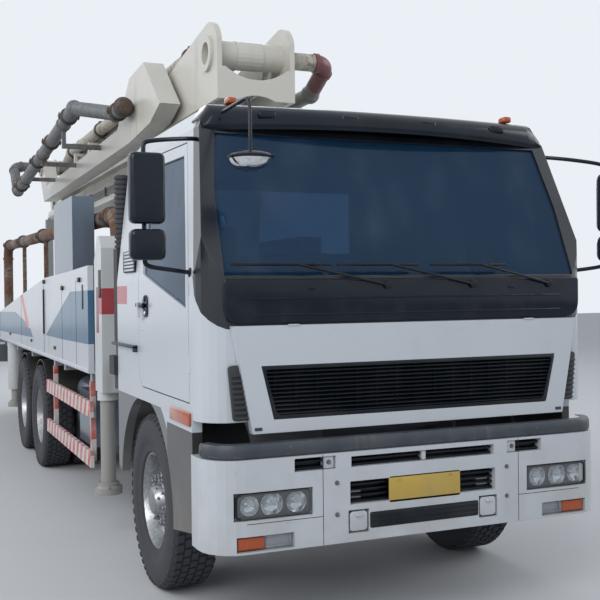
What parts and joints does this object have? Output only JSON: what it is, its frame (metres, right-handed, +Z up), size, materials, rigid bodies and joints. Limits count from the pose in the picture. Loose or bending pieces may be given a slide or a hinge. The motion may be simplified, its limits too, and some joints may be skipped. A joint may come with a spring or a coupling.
{
  "type": "concrete pump truck",
  "caption": "Truck-mounted concrete pump: cab-over truck with a folding placing boom on a slewing turret, slide-out and swing-out outriggers, a delivery line and a rear hopper.",
  "frame": {"origin": "on the ground, midway along and across the truck", "axes": "+Z up, the truck's front towards -Y, the truck's left towards +X"},
  "size_m": [3.09, 12.0279, 3.932],
  "materials": {
    "dash_plastic": "textured",
    "cream_paint": "gloss",
    "panel_paint": "gloss",
    "chassis_paint": "satin",
    "black_plastic": "textured",
    "clear_glass": "polished",
    "lamp_lens": "clear lens",
    "mirror_case": "gloss",
    "seat_fabric": "woven",
    "tyre_rubber": "matt, with steel rims",
    "tank_paint": "gloss",
    "pipe_rust": "worn and rusty",
    "pipe_grey": "satin",
    "steel": "machined",
    "rod_chrome": "polished",
    "hopper_paint": "worn",
    "guard_paint": "gloss with red bars"
  },
  "bodies": {
    "truck": {"frame": "chassis_paint", "axles": "chassis_paint", "powertrain": "chassis_paint", "cab_shell": "cream_paint", "cab_glass": "clear_glass", "bumper": "cream_paint", "lamps": "lamp_lens", "black_trim": "black_plastic", "cab_interior": "dash_plastic", "seats": "seat_fabric", "mirrors": "mirror_case", "fenders": "cream_paint", "air_intake": "black_plastic", "deck": "hopper_paint", "side_panels": "panel_paint", "side_guards": "guard_paint", "tanks": "tank_paint", "pedestal": "cream_paint", "delivery_line": "pipe_rust", "delivery_bends": "pipe_rust", "pump_unit": "steel", "hopper": "hopper_paint"},
    "front_lid": {"front_lid": "cream_paint", "grille": "black_plastic"},
    "door_left": {"door_left": "cream_paint", "door_glass_left": "clear_glass"},
    "door_right": {"door_right": "cream_paint", "door_glass_right": "clear_glass"},
    "knuckle_left": {"knuckle_left": "chassis_paint"},
    "knuckle_right": {"knuckle_right": "chassis_paint"},
    "front_wheel_left": {"front_wheel_left": "tyre_rubber"},
    "front_wheel_right": {"front_wheel_right": "tyre_rubber"},
    "mid_wheels_left": {"mid_wheels_left": "tyre_rubber"},
    "mid_wheels_right": {"mid_wheels_right": "tyre_rubber"},
    "rear_wheels_left": {"rear_wheels_left": "tyre_rubber"},
    "rear_wheels_right": {"rear_wheels_right": "tyre_rubber"},
    "hopper_grate": {"hopper_grate": "chassis_paint"},
    "agitator": {"agitator": "steel"},
    "turret": {"turret": "cream_paint"},
    "boom_1": {"arm_1": "cream_paint", "pipe_1": "pipe_grey"},
    "boom_2": {"arm_2": "cream_paint", "pipe_2": "pipe_grey"},
    "boom_3": {"arm_3": "cream_paint", "pipe_3": "cream_paint"},
    "boom_4": {"arm_4": "cream_paint", "pipe_4": "pipe_grey"},
    "lift_barrel": {"lift_barrel": "cream_paint"},
    "lift_rod": {"lift_rod": "rod_chrome"},
    "fold_rod_2": {"fold_rod_2": "rod_chrome"},
    "fold_rod_3": {"fold_rod_3": "rod_chrome"},
    "fold_rod_4": {"fold_rod_4": "rod_chrome"},
    "front_beam_left": {"front_beam_left": "cream_paint"},
    "front_beam_right": {"front_beam_right": "cream_paint"},
    "front_leg_left": {"front_leg_left": "steel"},
    "front_leg_right": {"front_leg_right": "steel"},
    "rear_arm_left": {"rear_arm_left": "cream_paint"},
    "rear_arm_right": {"rear_arm_right": "cream_paint"},
    "rear_leg_left": {"rear_leg_left": "steel"},
    "rear_leg_right": {"rear_leg_right": "steel"}
  },
  "joints": [
    {"name": "slew", "type": "hinge", "parent": "truck", "child": "turret", "pos_m": [0, -2.386, 1.93], "axis": [0, 0, 1], "range_deg": [-180, 180]},
    {"name": "arm_1_lift", "type": "hinge", "parent": "turret", "child": "boom_1", "pos_m": [0, -2.536, 3.09], "axis": [1, 0, 0], "range_deg": [0, 85]},
    {"name": "arm_2_fold", "type": "hinge", "parent": "boom_1", "child": "boom_2", "pos_m": [0, 5.564, 3.28], "axis": [-1, 0, 0], "range_deg": [0, 180]},
    {"name": "arm_3_fold", "type": "hinge", "parent": "boom_2", "child": "boom_3", "pos_m": [0, -3.116, 3.68], "axis": [1, 0, 0], "range_deg": [0, 180]},
    {"name": "arm_4_fold", "type": "hinge", "parent": "boom_3", "child": "boom_4", "pos_m": [0, 4.364, 3.7], "axis": [-1, 0, 0], "range_deg": [0, 210]},
    {"name": "lift_barrel_swing", "type": "hinge", "parent": "turret", "child": "lift_barrel", "pos_m": [0, -2.226, 2.11], "axis": [1, 0, 0], "range_deg": [0, 52]},
    {"name": "lift_rod_stroke", "type": "slide", "parent": "lift_barrel", "child": "lift_rod", "axis": [0, 0.7894, 0.6139], "range_m": [0, 1.003]},
    {"name": "fold_rod_2_stroke", "type": "slide", "parent": "boom_1", "child": "fold_rod_2", "axis": [0, -1, 0], "range_m": [0, 0.24]},
    {"name": "fold_rod_3_stroke", "type": "slide", "parent": "boom_2", "child": "fold_rod_3", "axis": [0, 1, 0], "range_m": [0, 0.2]},
    {"name": "fold_rod_4_stroke", "type": "slide", "parent": "boom_3", "child": "fold_rod_4", "axis": [0, -1, 0], "range_m": [0, 0.2]},
    {"name": "steer_left", "type": "hinge", "parent": "truck", "child": "knuckle_left", "pos_m": [0.835, -4.506, 0.531], "axis": [0, 0, 1], "range_deg": [-35, 35]},
    {"name": "wheel_front_left", "type": "hinge", "parent": "knuckle_left", "child": "front_wheel_left", "pos_m": [1.03, -4.506, 0.531], "axis": [1, 0, 0], "continuous": true},
    {"name": "wheels_mid_left", "type": "hinge", "parent": "truck", "child": "mid_wheels_left", "pos_m": [0.91, 0.089, 0.531], "axis": [1, 0, 0], "continuous": true},
    {"name": "wheels_rear_left", "type": "hinge", "parent": "truck", "child": "rear_wheels_left", "pos_m": [0.91, 1.399, 0.531], "axis": [1, 0, 0], "continuous": true},
    {"name": "door_hinge_left", "type": "hinge", "parent": "truck", "child": "door_left", "pos_m": [1.2, -5.491, 1.9], "axis": [0, 0, -1], "range_deg": [0, 70]},
    {"name": "front_beam_slide_left", "type": "slide", "parent": "truck", "child": "front_beam_left", "axis": [0.7071, -0.7071, 0], "range_m": [0, 1.39]},
    {"name": "front_leg_slide_left", "type": "slide", "parent": "front_beam_left", "child": "front_leg_left", "axis": [0, 0, -1], "range_m": [0, 0.43]},
    {"name": "rear_arm_swing_left", "type": "hinge", "parent": "truck", "child": "rear_arm_left", "pos_m": [0.9, 4.614, 0.92], "axis": [0, 0, 1], "range_deg": [0, 110]},
    {"name": "rear_leg_slide_left", "type": "slide", "parent": "rear_arm_left", "child": "rear_leg_left", "axis": [0, 0, -1], "range_m": [0, 0.43]},
    {"name": "steer_right", "type": "hinge", "parent": "truck", "child": "knuckle_right", "pos_m": [-0.835, -4.506, 0.531], "axis": [0, 0, 1], "range_deg": [-35, 35]},
    {"name": "wheel_front_right", "type": "hinge", "parent": "knuckle_right", "child": "front_wheel_right", "pos_m": [-1.03, -4.506, 0.531], "axis": [1, 0, 0], "continuous": true},
    {"name": "wheels_mid_right", "type": "hinge", "parent": "truck", "child": "mid_wheels_right", "pos_m": [-0.91, 0.089, 0.531], "axis": [1, 0, 0], "continuous": true},
    {"name": "wheels_rear_right", "type": "hinge", "parent": "truck", "child": "rear_wheels_right", "pos_m": [-0.91, 1.399, 0.531], "axis": [1, 0, 0], "continuous": true},
    {"name": "door_hinge_right", "type": "hinge", "parent": "truck", "child": "door_right", "pos_m": [-1.2, -5.491, 1.9], "axis": [0, 0, 1], "range_deg": [0, 70]},
    {"name": "front_beam_slide_right", "type": "slide", "parent": "truck", "child": "front_beam_right", "axis": [-0.7071, -0.7071, 0], "range_m": [0, 1.39]},
    {"name": "front_leg_slide_right", "type": "slide", "parent": "front_beam_right", "child": "front_leg_right", "axis": [0, 0, -1], "range_m": [0, 0.43]},
    {"name": "rear_arm_swing_right", "type": "hinge", "parent": "truck", "child": "rear_arm_right", "pos_m": [-0.9, 4.614, 0.92], "axis": [0, 0, -1], "range_deg": [0, 110]},
    {"name": "rear_leg_slide_right", "type": "slide", "parent": "rear_arm_right", "child": "rear_leg_right", "axis": [0, 0, -1], "range_m": [0, 0.43]},
    {"name": "front_lid_hinge", "type": "hinge", "parent": "truck", "child": "front_lid", "pos_m": [0, -5.776, 1.64], "axis": [-1, 0, 0], "range_deg": [0, 70]},
    {"name": "grate_hinge", "type": "hinge", "parent": "truck", "child": "hopper_grate", "pos_m": [0, 5.114, 1.517], "axis": [1, 0, 0], "range_deg": [0, 90]},
    {"name": "agitator_spin", "type": "hinge", "parent": "truck", "child": "agitator", "pos_m": [0, 5.564, 0.96], "axis": [1, 0, 0], "continuous": true}
  ],
  "couplings": [
    {"joint": "lift_barrel_swing", "follows": "arm_1_lift", "ratio": 0.6094},
    {"joint": "lift_rod_stroke", "follows": "arm_1_lift", "m_per_rad": 0.6757},
    {"joint": "fold_rod_2_stroke", "follows": "arm_2_fold", "m_per_rad": 0.0763},
    {"joint": "fold_rod_3_stroke", "follows": "arm_3_fold", "m_per_rad": 0.0636},
    {"joint": "fold_rod_4_stroke", "follows": "arm_4_fold", "m_per_rad": 0.0545},
    {"joint": "steer_right", "follows": "steer_left", "ratio": 1}
  ]
}
